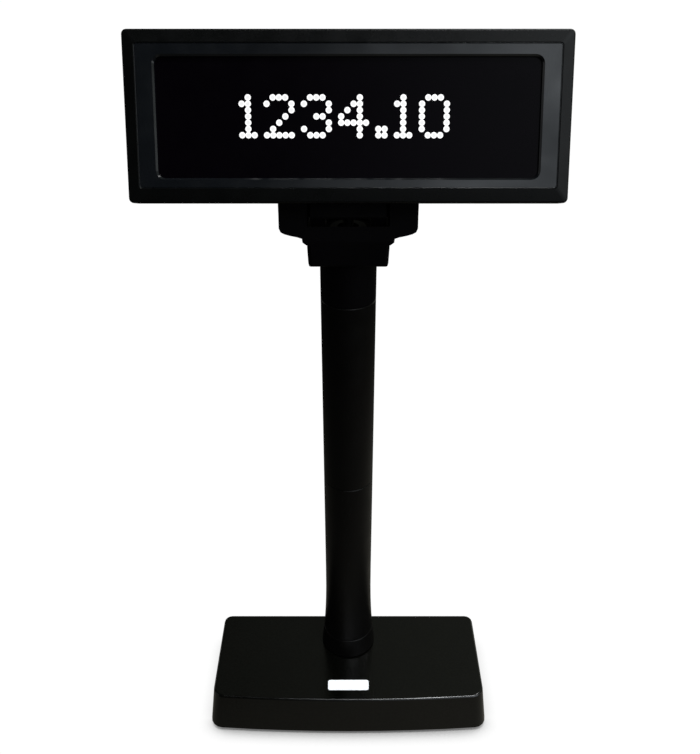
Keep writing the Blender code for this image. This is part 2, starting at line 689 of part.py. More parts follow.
HOUSING_SCREWS = {
    f"{level}_{side}": (sign * HOUSING_SCREW_X, HEAD_BOTTOM + height)
    for level, height in (("low", HOUSING_SCREW_LOW), ("high", HOUSING_SCREW_HIGH))
    for side, sign in (("left", LEFT), ("right", RIGHT))
}


def make_front(head):
    """The bezel, the glossy inner frame and the dark window behind it."""
    edge = HEAD_EDGE
    rounding = [
        at_y(face_outline(edge * (1 - math.cos(a))), depth(BEZEL_SLOPE + edge * (1 - math.sin(a))))
        for a in (0, math.radians(30), math.radians(60), math.radians(90))
    ]
    panel = (PANEL_HALF_WIDTH, PANEL_LOW, PANEL_HIGH, 0.0015)
    ledge = (LEDGE_HALF_WIDTH, LEDGE_LOW, LEDGE_HIGH, 0.0020)
    bezel = piece(
        "front_bezel",
        [at_y(face_outline(), depth(SPLIT_DEPTH)), *rounding,
         at_y(opening(*panel, inset=-0.0003), depth(0)), at_y(opening(*panel), depth(0.0003)),
         at_y(opening(*panel), depth(0.0016)), at_y(opening(*ledge), depth(0.0016)),
         at_y(opening(*ledge), depth(0.0034)), at_y(face_outline(HEAD_WALL), depth(0.0034)),
         at_y(face_outline(HEAD_WALL), depth(SPLIT_DEPTH))],
        "satin_black", head, ring=True, smooth=35,
    )
    for name, place in HOUSING_SCREWS.items():
        post = circle(0.0033, 16, place)
        add(bezel, f"bezel_post_{name}", [at_y(post, depth(d)) for d in (0.0028, SPLIT_DEPTH - 0.0004)])
        hole = circle(0.0016, 12, place)
        cut(bezel, f"bezel_hole_{name}", [at_y(hole, depth(d)) for d in (0.0050, SPLIT_DEPTH + 0.001)])

    window = (WINDOW_HALF_WIDTH, WINDOW_LOW, WINDOW_HIGH)
    chamfer = 0.0009
    piece(
        "window_frame",
        [at_y(opening(*panel[:3], 0.0012, inset=GAP), depth(0.0013)),
         at_y(opening(*panel[:3], 0.0012, inset=GAP), depth(0.0005)),
         at_y(opening(*panel[:3], 0.0010, inset=GAP + 0.0002), depth(0.0003)),
         at_y(opening(*window, WINDOW_CORNER + chamfer, inset=-chamfer), depth(0.0003)),
         at_y(opening(*window, WINDOW_CORNER), depth(0.0012)),
         at_y(opening(*window, WINDOW_CORNER), depth(0.0022)),
         at_y(opening(*ledge[:3], 0.0018, inset=GAP), depth(0.0022)),
         at_y(opening(*ledge[:3], 0.0018, inset=GAP), depth(0.0013))],
        "gloss_black", head, ring=True, smooth=35,
    )
    lens = opening(*ledge[:3], 0.0018, inset=GAP)
    piece("filter_lens", [at_y(lens, depth(0.0025)), at_y(lens, depth(0.0045))], "window_black", head)
    glass = rounded(-0.092, 0.092, HEAD_BOTTOM + 0.0135, HEAD_BOTTOM + 0.0665, 0.002, 2)
    piece("display_glass", [at_y(glass, depth(0.0051)), at_y(glass, depth(0.0108))], "display_glass", head)
    slab = rounded(-0.0975, 0.0975, HEAD_BOTTOM + 0.0108, HEAD_BOTTOM + 0.0705, 0.0015, 2)
    piece("display_board", [at_y(slab, depth(0.0111)), at_y(slab, depth(0.0127))], "circuit_green", head)


VENT_COUNT = 6
VENT_PITCH = 0.0080
VENT_HALF_LENGTH = 0.011


def make_rear(head):
    """The rear housing, with a notch that clears the yoke, vents and screw posts."""
    split = SPLIT_DEPTH + GAP
    back = HEAD_DEPTH
    rounding = [
        at_y(face_outline(REAR_DRAFT + REAR_EDGE * (1 - math.cos(a)), 0.004),
             depth(back - REAR_EDGE * (1 - math.sin(a))))
        for a in (0, math.radians(30), math.radians(60), math.radians(90))
    ]
    inside = HEAD_WALL + REAR_DRAFT
    housing = piece(
        "rear_housing",
        [at_y(face_outline(inside, 0.004), depth(back - HEAD_WALL)),
         at_y(face_outline(HEAD_WALL), depth(split)), at_y(face_outline(), depth(split)), *rounding],
        "satin_black", head, smooth=35,
    )
    barrel_radius = NOTCH_RADIUS + 0.0019
    low_angle = math.degrees(math.asin((HEAD_BOTTOM + 0.001) / barrel_radius))
    high_angle = math.degrees(math.acos((HEAD_BACK - 0.001) / barrel_radius))
    barrel = arc((0, 0), barrel_radius, 180 - low_angle, high_angle, 14)
    barrel.append((HEAD_BACK - 0.001, HEAD_BOTTOM + 0.001))
    outer = NOTCH_HALF_WIDTH + 0.002
    add(housing, "notch_wall", [at_x(barrel, -outer), at_x(barrel, outer)])
    for name, place in HOUSING_SCREWS.items():
        add(housing, f"housing_post_{name}",
            [at_y(circle(0.0036, 16, place), depth(d)) for d in (split + 0.0004, back - 0.001)])
    notch = [(NOTCH_RADIUS, -NOTCH_HALF_WIDTH), (NOTCH_RADIUS, NOTCH_HALF_WIDTH)]
    cut(housing, "notch", across(notch, 48))
    seat = back - 0.0022
    for name, place in HOUSING_SCREWS.items():
        hole = circle(0.0016, 12, place)
        cut(housing, f"housing_hole_{name}", [at_y(hole, depth(d)) for d in (0.010, 0.045)])
        sunk = circle(0.0030, 16, place)
        cut(housing, f"screw_seat_{name}", [at_y(sunk, depth(d)) for d in (seat, 0.045)])
        screw(f"housing_screw_{name}", head, (place[0], depth(seat + GAP), place[1]),
              (-math.pi / 2, 0, 0), 0.0026, 0.0012, 0.0330)
    cut(housing, "housing_wire_hole", [at_z(circle(0.0042, 16), z) for z in (0.012, 0.024)])
    for side, sign in (("left", LEFT), ("right", RIGHT)):
        place = (sign * 0.0162, 0)
        hole = circle(0.0016, 16, place)
        cut(housing, f"hinge_screw_hole_{side}", [at_z(hole, z) for z in (0.012, 0.024)])
    for side, sign in (("left", LEFT), ("right", RIGHT)):
        for row in range(VENT_COUNT):
            middle = sign * 0.068
            height = HEAD_BOTTOM + 0.020 + row * VENT_PITCH
            slot = rounded(middle - VENT_HALF_LENGTH, middle + VENT_HALF_LENGTH,
                           height - 0.0013, height + 0.0013, 0.0010, 1)
            cut(housing, f"vent_{side}_{row}", [at_y(slot, depth(d)) for d in (back - 0.004, back + 0.002)])


def make_electronics(head):
    """The controller board on its posts, with the ribbon to the display board."""
    slab = rounded(-0.046, 0.046, HEAD_BOTTOM + 0.030, HEAD_BOTTOM + 0.072, 0.0015, 2)
    loops = [at_y(slab, depth(0.0270)), at_y(slab, depth(0.0286))]
    board = piece("controller_board", loops, "circuit_green", head)
    for side, sign in (("left", LEFT), ("right", RIGHT)):
        place = (sign * 0.041, HEAD_BOTTOM + 0.051)
        hole = circle(0.0016, 12, place)
        cut(board, f"controller_hole_{side}", [at_y(hole, depth(d)) for d in (0.02, 0.04)])
        post = [at_y(circle(0.0030, 6, place), depth(d)) for d in (0.0289, HEAD_DEPTH - HEAD_WALL - GAP)]
        piece(f"board_post_{side}", post, "brass", head)
    low = HEAD_BOTTOM + 0.0345
    plug = box(-0.0055, 0.0055, depth(0.0289), depth(0.0372), low, low + 0.006)
    piece("head_plug", plug, "nylon_white", head)
    middle = (depth(0.01985), HEAD_BOTTOM + 0.054)
    radius = 0.00685
    strip = arc(middle, radius, 180, 0, 12) + arc(middle, radius - 0.0008, 0, 180, 12)
    piece("ribbon_cable", [at_x(strip, -0.0125), at_x(strip, 0.0125)], "ribbon_grey", head, smooth=35)


# ---------------------------------------------------------------- wiring


def harness(name, points, parent):
    """A round cable that follows a smooth line through its points."""
    curve = bpy.data.curves.new(name, "CURVE")
    curve.dimensions = "3D"
    curve.bevel_depth = HARNESS_RADIUS
    curve.bevel_resolution = 2
    curve.use_fill_caps = True
    line = curve.splines.new("POLY")
    line.points.add(len(points) - 1)
    for point, place in zip(line.points, points):
        point.co = (*place, 1)
    curve.materials.append(finish("cable_black"))
    made = bpy.data.objects.new(name, curve)
    made.parent = parent
    bpy.context.scene.collection.objects.link(made)


def make_wiring(root, swivel, head):
    """One cable from the base to the head, in a length for each moving part."""
    start_y, start_z = 0.008, BOARD_TOP + GAP + 0.0048 + GAP
    bend = 0.008
    rise = start_z + 0.0035
    route = [(0, start_y, start_z), (0, start_y, start_z + 0.0015)]
    route += [(0, start_y - bend * 0.5 * (1 - math.cos(t)), rise + (BASE_TOP - rise + 0.012) * t / math.pi)
              for t in (i * math.pi / 8 for i in range(9))]
    top = SWIVEL_SPLIT
    first = route[-1][2]
    count = 8
    route += [(0, 0, first + (top - first) * i / count) for i in range(1, count + 1)]
    harness("harness_pole", route, root)
    low, high = SWIVEL_SPLIT + GAP, TILT_AXIS_Z - HARNESS_RADIUS - 0.0002
    harness("harness_yoke", [(0, 0, low + (high - low) * i / 3) for i in range(4)], swivel)
    low, high = HARNESS_RADIUS + 0.0002, HEAD_BOTTOM + 0.0345 - GAP
    harness("harness_head", [(0, 0, low + (high - low) * i / 4) for i in range(5)], head)


# ---------------------------------------------------------------- the whole display


def main():
    """Builds every part."""
    for old in list(bpy.data.objects):
        bpy.data.objects.remove(old)
    root = axis("pole_axis", (0, POLE_Y, 0))
    swivel = axis("swivel_axis", (0, 0, 0), parent=root)
    head = axis("tilt_axis", (0, 0, TILT_AXIS_Z), -REST_TILT, swivel)
    make_base(root)
    make_sockets(root)
    make_pole(root)
    make_yoke(swivel)
    make_retainer(root)
    make_hinge(head)
    make_front(head)
    make_rear(head)
    make_electronics(head)
    make_wiring(root, swivel, head)


main()
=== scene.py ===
"""Looks of the customer pole display: satin black mouldings, a glossy window and lit dot-matrix digits."""

import json
import math

import bmesh
import bpy
from mathutils import Euler, Matrix, Vector


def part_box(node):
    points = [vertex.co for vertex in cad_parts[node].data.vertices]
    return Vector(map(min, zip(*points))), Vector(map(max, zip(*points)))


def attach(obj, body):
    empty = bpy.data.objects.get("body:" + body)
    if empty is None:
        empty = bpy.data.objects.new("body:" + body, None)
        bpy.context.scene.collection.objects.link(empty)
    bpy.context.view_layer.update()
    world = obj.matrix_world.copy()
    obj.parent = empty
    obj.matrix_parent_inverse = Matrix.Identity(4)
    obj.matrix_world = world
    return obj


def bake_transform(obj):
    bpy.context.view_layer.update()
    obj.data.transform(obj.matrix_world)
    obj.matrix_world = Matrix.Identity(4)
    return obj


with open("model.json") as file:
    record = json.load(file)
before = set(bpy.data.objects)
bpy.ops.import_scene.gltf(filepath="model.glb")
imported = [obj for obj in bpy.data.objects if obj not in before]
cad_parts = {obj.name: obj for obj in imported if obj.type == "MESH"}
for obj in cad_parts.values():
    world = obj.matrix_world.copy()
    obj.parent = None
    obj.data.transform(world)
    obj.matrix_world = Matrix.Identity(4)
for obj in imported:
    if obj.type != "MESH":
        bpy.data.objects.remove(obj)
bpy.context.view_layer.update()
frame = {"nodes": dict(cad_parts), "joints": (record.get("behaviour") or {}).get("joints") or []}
nodes = frame["nodes"]

# ---------------------------------------------------------------- places, all from the frame

joints = {joint["name"]: joint for joint in frame["joints"]}
TILT_AXIS = Vector(joints["head_tilt"]["pos_m"])
POLE_Y = TILT_AXIS.y
REST_TILT = math.radians(21)
BASE_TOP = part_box("base_cover")[1].z
HEAD_FACE = -0.0334  # from the tilt axis to the face, with the face upright
WINDOW_MIDDLE = (-0.0020, 0.0397)  # the window's middle on the upright face, above the tilt axis
LENS_DEPTH = 0.0025  # from the face back to the lens

# ---------------------------------------------------------------- camera

CAMERA_AHEAD = 0.426  # in front of the pole's axis
CAMERA_HEIGHT = 0.497  # above the base's top face
CAMERA_PITCH = 31.8  # degrees below the horizon
CAMERA_LENS = 39.15
CAMERA_SHIFT = 0.0022


def make_camera():
    """The photograph's viewing angle."""
    data = bpy.data.cameras.new("camera")
    data.lens = CAMERA_LENS
    data.sensor_width = 36
    data.shift_x = CAMERA_SHIFT
    data.clip_start = 0.01
    data.clip_end = 50
    camera = bpy.data.objects.new("camera", data)
    camera.location = (0, POLE_Y - CAMERA_AHEAD, BASE_TOP + CAMERA_HEIGHT)
    camera.rotation_euler = Euler((math.radians(90 - CAMERA_PITCH), 0, 0))
    bpy.context.scene.collection.objects.link(camera)
    bpy.context.scene.camera = camera


# ---------------------------------------------------------------- building


def new_piece(name, bm, *looks):
    """An object from finished geometry, with its materials."""
    mesh = bpy.data.meshes.new(name)
    bm.to_mesh(mesh)
    bm.free()
    for look in looks:
        mesh.materials.append(look)
    made = bpy.data.objects.new(name, mesh)
    bpy.context.scene.collection.objects.link(made)
    return made


def bridge(bm, rings, smooth=False):
    """Faces between each ring of vertices and the next."""
    for near, far in zip(rings, rings[1:]):
        for i in range(len(near)):
            j = (i + 1) % len(near)
            bm.faces.new((near[i], near[j], far[j], far[i])).smooth = smooth


def round_turns(sides):
    """Evenly spaced angles, all the way round."""
    return [2 * math.pi * i / sides for i in range(sides)]


# ---------------------------------------------------------------- studio


def new_node(tree, kind, **sockets):
    """A shader node with its inputs set by name; underscores stand for spaces."""
    made = tree.nodes.new(kind)
    for name, value in sockets.items():
        made.inputs[name.replace("_", " ")].default_value = value
    return made


def sky_glow(tree, direction, start, strength, tint):
    """A soft glow in one direction of the sky."""
    link = tree.links.new
    place = tree.nodes.new("ShaderNodeTexCoord")
    dot = tree.nodes.new("ShaderNodeVectorMath")
    dot.operation = "DOT_PRODUCT"
    link(place.outputs["Generated"], dot.inputs[0])
    dot.inputs[1].default_value = Vector(direction).normalized()
    ramp = new_node(tree, "ShaderNodeMapRange", From_Min=start, From_Max=1.0, To_Max=strength)
    ramp.interpolation_type = "SMOOTHERSTEP"
    link(dot.outputs["Value"], ramp.inputs["Value"])
    glow = tree.nodes.new("ShaderNodeVectorMath")
    glow.operation = "SCALE"
    glow.inputs[0].default_value = tint
    link(ramp.outputs["Result"], glow.inputs["Scale"])
    return glow.outputs["Vector"]


SKY_DIM = 0.018  # how bright the studio is between the glows
BACKDROP_WHITE = 1.05
GLOWS = (
    # direction, where the glow starts (cosine), strength, tint
    ((0.60, -0.75, 0.40), 0.70, 1.40, (0.93, 1.0, 1.06)),
    ((0.42, -0.58, 0.70), 0.920, 2.20, (0.95, 1.0, 1.05)),
    ((0.15, -0.20, 0.96), 0.985, 40.0, (0.97, 1.0, 1.02)),
    ((0.98, -0.15, 0.00), 0.982, 2.20, (0.95, 1.0, 1.05)),
    ((0.85, 0.45, 0.60), 0.22, 0.25, (0.98, 1.04, 0.88)),
    ((-0.90, -0.20, 0.35), 0.90, 0.30, (1.0, 1.0, 1.0)),
    ((0.70, 0.71, 0.06), 0.86, 1.30, (1.0, 1.0, 0.90)),
    ((-0.72, 0.68, 0.10), 0.88, 0.90, (1.0, 1.0, 0.94)),
)


def make_world():
    """A dark studio with soft glows for the plastic to reflect, seen as white by the camera."""
    world = bpy.data.worlds.new("studio")
    bpy.context.scene.world = world
    world.use_nodes = True
    tree = world.node_tree
    tree.nodes.clear()
    link = tree.links.new
    running = None
    for direction, start, strength, tint in GLOWS:
        glow = sky_glow(tree, direction, start, strength, tint)
        add = tree.nodes.new("ShaderNodeVectorMath")
        if running is None:
            add.inputs[0].default_value = (SKY_DIM, SKY_DIM, SKY_DIM)
        else:
            link(running, add.inputs[0])
        link(glow, add.inputs[1])
        running = add.outputs["Vector"]
    studio = tree.nodes.new("ShaderNodeBackground")
    link(running, studio.inputs["Color"])
    white = new_node(tree, "ShaderNodeBackground", Color=(1, 1, 1, 1), Strength=BACKDROP_WHITE)
    ray = tree.nodes.new("ShaderNodeLightPath")
    choose = tree.nodes.new("ShaderNodeMixShader")
    output = tree.nodes.new("ShaderNodeOutputWorld")
    link(ray.outputs["Is Camera Ray"], choose.inputs["Fac"])
    link(studio.outputs["Background"], choose.inputs[1])
    link(white.outputs["Background"], choose.inputs[2])
    link(choose.outputs["Shader"], output.inputs["Surface"])


FLOOR_SIZE = 6.0
FLOOR_WHITE = 1.02
FLOOR_ACROSS = (-0.15, 0.20)  # the left and right ends of the change in brightness
FLOOR_REFLECTED = (0.12, 0.34)  # how bright the floor looks in the plastic at those ends
FLOOR_AWAY = (0.12, 0.50)  # how far out that brightness starts and stops fading
FLOOR_FADE = 0.12  # the share of it that is left after the fade
SHADOW_REACH = 0.015  # how far out the contact shadow goes
SHADOW_OPEN = (0.42, 0.99)  # how open to the sky the darkest and the lightest shadow are
SHADOW_DEPTH = 0.14  # how bright the floor stays in the darkest shadow
SHADOW_FRONT = (0.003, 0.012)  # how far behind the base's front edge the shadow starts and stops thinning
SHADOW_BEHIND = 0.30  # the share of the shadow that is left beside and behind the base
SHADOW_SAMPLES = 12


def make_floor():
    """A white floor with a soft contact shadow: bright to the camera, dim in reflections."""
    bm = bmesh.new()
    bmesh.ops.create_grid(bm, x_segments=1, y_segments=1, size=FLOOR_SIZE)
    look = bpy.data.materials.new("floor_white")
    look.use_nodes = True
    tree = look.node_tree
    tree.nodes.clear()
    link = tree.links.new
    contact = new_node(tree, "ShaderNodeAmbientOcclusion", Distance=SHADOW_REACH)
    contact.samples = SHADOW_SAMPLES
    ramp = new_node(tree, "ShaderNodeMapRange", From_Min=SHADOW_OPEN[0], From_Max=SHADOW_OPEN[1],
                    To_Min=SHADOW_DEPTH, To_Max=FLOOR_WHITE)
    ramp.interpolation_type = "SMOOTHSTEP"
    seen = new_node(tree, "ShaderNodeEmission", Color=(1, 1, 1, 1))
    dim = new_node(tree, "ShaderNodeEmission", Color=(1, 0.96, 0.82, 1))
    place = tree.nodes.new("ShaderNodeNewGeometry")
    split = tree.nodes.new("ShaderNodeSeparateXYZ")
    link(place.outputs["Position"], split.inputs[0])
    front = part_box("base_cover")[0].y
    full, thin = (front + behind for behind in SHADOW_FRONT)
    share = new_node(tree, "ShaderNodeMapRange", From_Min=full, From_Max=thin, To_Min=1.0, To_Max=SHADOW_BEHIND)
    link(split.outputs["Y"], share.inputs["Value"])
    lit = new_node(tree, "ShaderNodeMix", A=FLOOR_WHITE)
    link(share.outputs["Result"], lit.inputs["Factor"])
    link(ramp.outputs["Result"], lit.inputs["B"])
    (left, right), (low, high) = FLOOR_ACROSS, FLOOR_REFLECTED
    sideways = new_node(tree, "ShaderNodeMapRange", From_Min=left, From_Max=right, To_Min=low, To_Max=high)
    link(split.outputs["X"], sideways.inputs["Value"])
    away = tree.nodes.new("ShaderNodeVectorMath")
    away.operation = "LENGTH"
    link(place.outputs["Position"], away.inputs[0])
    near, far = FLOOR_AWAY
    fade = new_node(tree, "ShaderNodeMapRange", From_Min=near, From_Max=far, To_Min=1.0, To_Max=FLOOR_FADE)
    link(away.outputs["Value"], fade.inputs["Value"])
    strength = tree.nodes.new("ShaderNodeMath")
    strength.operation = "MULTIPLY"
    link(sideways.outputs["Result"], strength.inputs[0])
    link(fade.outputs["Result"], strength.inputs[1])
    link(strength.outputs["Value"], dim.inputs["Strength"])
    ray = tree.nodes.new("ShaderNodeLightPath")
    choose = tree.nodes.new("ShaderNodeMixShader")
    output = tree.nodes.new("ShaderNodeOutputMaterial")
    link(contact.outputs["AO"], ramp.inputs["Value"])
    link(lit.outputs["Result"], seen.inputs["Strength"])
    link(ray.outputs["Is Camera Ray"], choose.inputs["Fac"])
    link(dim.outputs[0], choose.inputs[1])
    link(seen.outputs[0], choose.inputs[2])
    link(choose.outputs[0], output.inputs["Surface"])
    new_piece("floor", bm, look)


def area_light(name, place, aim, size, power, tint=(1, 1, 1)):
    """A soft light that faces a point."""
    data = bpy.data.lights.new(name, "AREA")
    data.shape = "RECTANGLE"
    data.size, data.size_y = size
    data.energy = power
    data.color = tint
    light = bpy.data.objects.new(name, data)
    light.location = place
    light.rotation_euler = (Vector(aim) - Vector(place)).to_track_quat("-Z", "Y").to_euler()
    bpy.context.scene.collection.objects.link(light)


def make_lights():
    """A small key light from the front right and a rim light from above and behind."""
    area_light("key", (0.75, -0.75, 0.85), (0.05, 0, 0.35), (0.5, 0.4), 0.5, (0.95, 1.0, 1.04))
    area_light("rim", (0.45, 0.25, 1.10), (0.05, 0, 0.43), (0.3, 0.1), 2.0)


# ---------------------------------------------------------------- materials


def material(name, colour, roughness, metallic=0.0, specular=0.5):
    """A new material with its Principled node's plain values set."""
    made = bpy.data.materials.new(name)
    made.use_nodes = True
    shader = made.node_tree.nodes["Principled BSDF"]
    shader.inputs["Base Color"].default_value = (*colour, 1)
    shader.inputs["Roughness"].default_value = roughness
    shader.inputs["Metallic"].default_value = metallic
    shader.inputs["Specular IOR Level"].default_value = specular
    return made, made.node_tree, shader


def noise(tree, scale, detail=2.0, stretch=None):
    """Noise in the object's own coordinates, scale in grains per metre."""
    place = tree.nodes.new("ShaderNodeTexCoord")
    made = new_node(tree, "ShaderNodeTexNoise", Scale=scale, Detail=detail)
    source = place.outputs["Object"]
    if stretch:
        mapping = tree.nodes.new("ShaderNodeMapping")
        mapping.inputs["Scale"].default_value = stretch
        tree.links.new(source, mapping.inputs["Vector"])
        source = mapping.outputs["Vector"]
    tree.links.new(source, made.inputs["Vector"])
    return made.outputs["Fac"]


def spread(tree, value, low, high, start=0.3, end=0.7):
    """Maps a noise value onto a range."""
    ramp = new_node(tree, "ShaderNodeMapRange", From_Min=start, From_Max=end, To_Min=low, To_Max=high)
    tree.links.new(value, ramp.inputs["Value"])
    return ramp.outputs["Result"]


def bump(tree, shader, value, height, strength=1.0):
    """Bends the surface by a noise value, height in metres."""
    made = new_node(tree, "ShaderNodeBump", Strength=strength, Distance=height)
    tree.links.new(value, made.inputs["Height"])
    tree.links.new(made.outputs["Normal"], shader.inputs["Normal"])


def tinted(tree, shader, value, dark, light):
    """Lets the colour drift between two shades."""
    mix = tree.nodes.new("ShaderNodeMix")
    mix.data_type = "RGBA"
    mix.inputs["A"].default_value = (*dark, 1)
    mix.inputs["B"].default_value = (*light, 1)
    tree.links.new(value, mix.inputs["Factor"])
    tree.links.new(mix.outputs["Result"], shader.inputs["Base Color"])


def moulded(name, dark, light, roughness, grain, height, specular=0.5, wear=0.05, mottle=38):
    """Moulded plastic: a fine spark-eroded grain, slight wear in its sheen and mottle in its colour."""
    made, tree, shader = material(name, dark, roughness, 0.0, specular)
    tinted(tree, shader, spread(tree, noise(tree, mottle, 3), 0, 1), dark, light)
    link = tree.links.new
    link(spread(tree, noise(tree, 90, 4), roughness - wear, roughness + wear), shader.inputs["Roughness"])
    bump(tree, shader, noise(tree, grain, 3), height)
    return made


def clouded(made):
    """Lets a gloss finish reflect unevenly, as if it had been wiped."""
    tree = made.node_tree
    shader = tree.nodes["Principled BSDF"]
    sheen = spread(tree, noise(tree, 26, 2.5, (1, 1, 1.6)), 0.30, 0.62)
    tree.links.new(sheen, shader.inputs["Specular IOR Level"])
    return made


def turned_metal(name, colour, roughness):
    """Plated or turned metal with faint machining lines."""
    made, tree, shader = material(name, colour, roughness, 1.0)
    tinted(tree, shader, spread(tree, noise(tree, 300, 2), 0, 1), [c * 0.85 for c in colour], colour)
    lines = noise(tree, 900, 2, (1, 1, 6))
    tree.links.new(spread(tree, lines, roughness - 0.08, roughness + 0.10), shader.inputs["Roughness"])
    bump(tree, shader, lines, 0.00002, 0.5)
    return made


def badge_with_painted_glow():
    """A blank pale badge of smooth satin paint, with a painted glow that keeps it bright against the black
    base.
    """
    made, tree, shader = material("badge_silver", (0.80, 0.81, 0.83), 0.35)
    # painted glow: the badge gives off a little light of its own, so that it reads as pale
    shader.inputs["Emission Color"].default_value = (0.93, 0.95, 1.0, 1)
    shader.inputs["Emission Strength"].default_value = 0.24
    tree.links.new(spread(tree, noise(tree, 60, 2), 0.30, 0.42), shader.inputs["Roughness"])
    return made


def make_materials():
    """Every finish, by name: dark and light shade, roughness, grains per metre, their height, sheen."""
    black = (0.0009, 0.0007, 0.0010), (0.0012, 0.0009, 0.0013)
    return {
        "housing": moulded("housing_black", (0.0014, 0.0015, 0.0015), (0.0021, 0.0023, 0.0022),
                           0.27, 2600, 0.00003, 0.10),
        "joint": moulded("joint_black", *black, 0.55, 2600, 0.00003, 0.045),
        "pole": moulded("pole_black", (0.0009, 0.0008, 0.0007), (0.0014, 0.0012, 0.0011),
                        0.40, 3000, 0.00003, 0.12),
        "base": moulded("base_black", (0.0003, 0.0003, 0.0002), (0.0018, 0.0019, 0.0014),
                        0.17, 1800, 0.00003, 0.36, wear=0.02, mottle=700),
        "gloss": clouded(moulded("gloss_frame", (0.0036, 0.0044, 0.0054), (0.0042, 0.0050, 0.0062),
                                 0.16, 700, 0.000002)),
        "window": moulded("dark_window", (0.0010, 0.0006, 0.0013), (0.0012, 0.0007, 0.0015),
                          0.20, 500, 0.000001, 0.04),
        "rubber": moulded("rubber_foot", (0.012, 0.012, 0.012), (0.020, 0.020, 0.020), 0.85, 2500, 0.00008),
        "steel": turned_metal("plated_steel", (0.52, 0.52, 0.54), 0.32),
        "oxide": moulded("blackened_steel", *black, 0.80, 2000, 0.00002, 0.01),
        "brass": turned_metal("turned_brass", (0.72, 0.52, 0.20), 0.30),
        "iron": moulded("ballast_iron", (0.030, 0.030, 0.032), (0.060, 0.055, 0.050), 0.65, 600, 0.0002),
        "board": moulded("solder_mask", (0.004, 0.050, 0.018), (0.008, 0.080, 0.030), 0.35, 900, 0.00004),
        "nylon": moulded("white_nylon", (0.68, 0.66, 0.60), (0.76, 0.74, 0.68), 0.45, 1200, 0.00003),
        "ribbon": moulded("grey_ribbon", (0.16, 0.16, 0.17), (0.22, 0.22, 0.23), 0.55, 900, 0.00005),
        "cable": moulded("black_cable", *black, 0.55, 900, 0.00005, 0.10),
        "glass": moulded("display_glass", (0.03, 0.04, 0.04), (0.04, 0.05, 0.05), 0.08, 300, 0.000002),
        "badge": badge_with_painted_glow(),
    }


LOOKS = {  # exact names first, then the ways names start
    "base_cover": "base", "base_plate": "housing", "badge": "badge", "ballast_plate": "iron",
    "window_frame": "gloss", "filter_lens": "window", "display_glass": "glass",
    "swivel_washer": "nylon", "harness_plug": "nylon", "head_plug": "nylon", "ribbon_cable": "ribbon",
    "pole_mount_plate": "steel", "swivel_retainer": "oxide", "swivel_spring_washer": "oxide",
    "pole_foot": "pole", "lower_tube": "pole", "upper_tube": "pole", "pole_neck": "joint",
    "data_socket": "housing", "power_jack": "housing", "yoke": "joint", "hinge_bracket": "joint",
}
LOOK_STARTS = {
    "foot_": "rubber", "harness_": "cable", "board_post": "brass", "pivot_cap": "joint",
    "friction_": "oxide", "bracket_screw": "oxide", "pivot_nut": "oxide",
}


def look_of(name):
    """Which finish a CAD node has."""
    if name in LOOKS:
        return LOOKS[name]
    for start, look in LOOK_STARTS.items():
        if name.startswith(start):
            return look
    if name.endswith("_board"):
        return "board"
    if "screw" in name or "bolt" in name:
        return "steel"
    return "housing"


WELD = 0.000002
SHARP = math.radians(32)
FLAT_WEIGHT = 50  # how much more the big flat faces count in the shading than their rounded edges


def finish_cad(looks):
    """Smooth shading and a real material for every CAD node."""
    for name, obj in nodes.items():
        mesh = obj.data
        mesh.materials.clear()
        mesh.materials.append(looks[look_of(name)])
        if "custom_normal" in mesh.attributes:
            mesh.attributes.remove(mesh.attributes["custom_normal"])
        mesh.polygons.foreach_set("use_smooth", [True] * len(mesh.polygons))
        weld = obj.modifiers.new("weld", "WELD")
        weld.merge_threshold = WELD
        split = obj.modifiers.new("sharp_edges", "EDGE_SPLIT")
        split.split_angle = SHARP
        flat = obj.modifiers.new("flat_faces", "WEIGHTED_NORMAL")
        flat.weight = FLAT_WEIGHT
        flat.keep_sharp = True


# ---------------------------------------------------------------- lit digits

DOT_PITCH = (0.00306, 0.00298)
DOT_RADIUS = 0.00157
DOT_SIDES = 20
DOT_RAISE = 0.00012
DOT_DOME = ((1.0, -0.00005), (0.96, DOT_RAISE * 0.6), (0.62, DOT_RAISE))  # share of the radius, height
GLYPHS = {  # five-by-seven dot figures, a row to a word, narrowed to the columns they need
    "1": ("010", "110", "010", "010", "010", "010", "111"),
    "2": ("01110", "10001", "00001", "00010", "00100", "01000", "11111"),
    "3": ("01110", "10001", "00001", "00110", "00001", "10001", "01110"),
    "4": ("00010", "00110", "01010", "10010", "11111", "00010", "00010"),
    "0": ("01110", "10001", "10001", "10001", "10001", "10001", "01110"),
    ".": ("00", "00", "00", "00", "00", "11", "11"),
}
PRICE = "1234.10"


def on_face(x, height, behind):
    """A point of the head at its rest tilt: across, up the face from the tilt axis, and behind the face."""
    upright = Vector((x, HEAD_FACE + behind, height))
    return TILT_AXIS + Matrix.Rotation(-REST_TILT, 3, "X") @ upright


def lit_dots(text):
    """The middle of every lit dot, across and up from the middle of the text."""
    column = 0
    dots = []
    for character in text:
        rows = GLYPHS[character]
        for row, cells in enumerate(rows):
            dots += [(column + i, 3 - row) for i, cell in enumerate(cells) if cell == "1"]
        column += len(rows[0]) + 1
    width = column - 2
    return [((x - width / 2) * DOT_PITCH[0], y * DOT_PITCH[1]) for x, y in dots]


def glowing(name, strength):
    """The white of a lit dot, with faint grain in its phosphor."""
    made, tree, shader = material(name, (0.2, 0.2, 0.2), 0.4)
    shader.inputs["Emission Color"].default_value = (1.0, 1.0, 1.0, 1)
    grain = spread(tree, noise(tree, 900), strength * 0.96, strength)
    tree.links.new(grain, shader.inputs["Emission Strength"])
    return made


